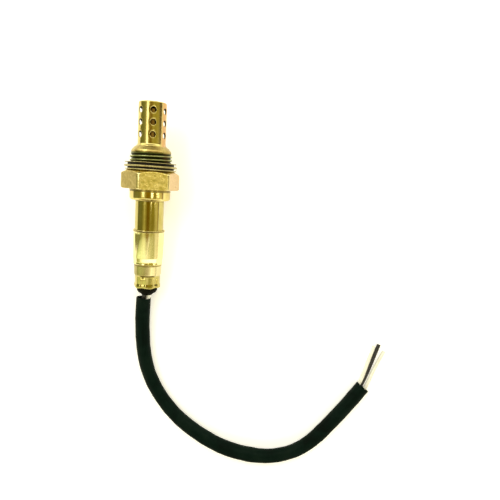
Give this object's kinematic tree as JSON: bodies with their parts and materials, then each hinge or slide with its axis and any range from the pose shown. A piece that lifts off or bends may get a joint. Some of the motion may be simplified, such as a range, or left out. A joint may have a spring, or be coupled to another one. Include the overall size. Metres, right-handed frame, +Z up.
{
  "type": "oxygen sensor",
  "caption": "Heated exhaust oxygen sensor with a perforated tip, threaded hexagonal body, vented metal sleeve and a short sleeved lead with cut wire ends.",
  "frame": {"origin": "on the surface it lies on, under the middle of the sensor body's box, without its loom and wires", "axes": "+Z up; the sensor lies along +Y with its perforated tip towards +Y, leaning 3.8 degrees to +X and raised 8.7 degrees; the loom lies on the surface towards -Y and +X"},
  "size_m": [0.1172, 0.1593, 0.0256],
  "materials": {
    "shell_steel": "yellow-passivated zinc plating, machined",
    "gasket_steel": "formed sheet, satin",
    "shield_steel": "drawn stainless tube, satin",
    "inner_shield_steel": "drawn stainless tube, dull",
    "sleeve_steel": "drawn stainless tube, semi-bright",
    "cover_steel": "polished stainless tube",
    "zirconia": "sintered, fine matt",
    "heater_ceramic": "sintered alumina",
    "washer_nickel": "stamped",
    "talc": "pressed powder",
    "steatite": "pressed and fired",
    "ring_steel": "stamped",
    "spring_steel": "hardened",
    "terminal_nickel": "stamped strip",
    "holder_ceramic": "pressed and fired",
    "membrane_ptfe": "porous, matt",
    "grommet_rubber": "moulded, matt",
    "wire_black": "extruded",
    "wire_white": "extruded",
    "core_tinned": "tinned copper strands",
    "loom_black": "soft extruded sleeve, matt"
  },
  "bodies": {
    "root": {"shell": "shell_steel", "gasket": "gasket_steel", "outer_shield": "shield_steel", "inner_shield": "inner_shield_steel", "sensing_element": "zirconia", "heater_rod": "heater_ceramic", "seal_washer": "washer_nickel", "talc_packing": "talc", "steatite_bushing": "steatite", "packing_ring": "ring_steel", "upper_sleeve": "sleeve_steel", "vent_cover": "cover_steel", "vent_membrane": "membrane_ptfe", "terminal_holder": "holder_ceramic", "holder_spring": "spring_steel", "signal_terminal": "terminal_nickel", "heater_a_terminal": "terminal_nickel", "heater_b_terminal": "terminal_nickel", "grommet": "grommet_rubber", "loom": "loom_black", "signal_wire": "wire_black", "heater_a_wire": "wire_white", "heater_b_wire": "wire_white", "signal_core": "core_tinned", "heater_a_core": "core_tinned", "heater_b_core": "core_tinned"}
  },
  "joints": []
}
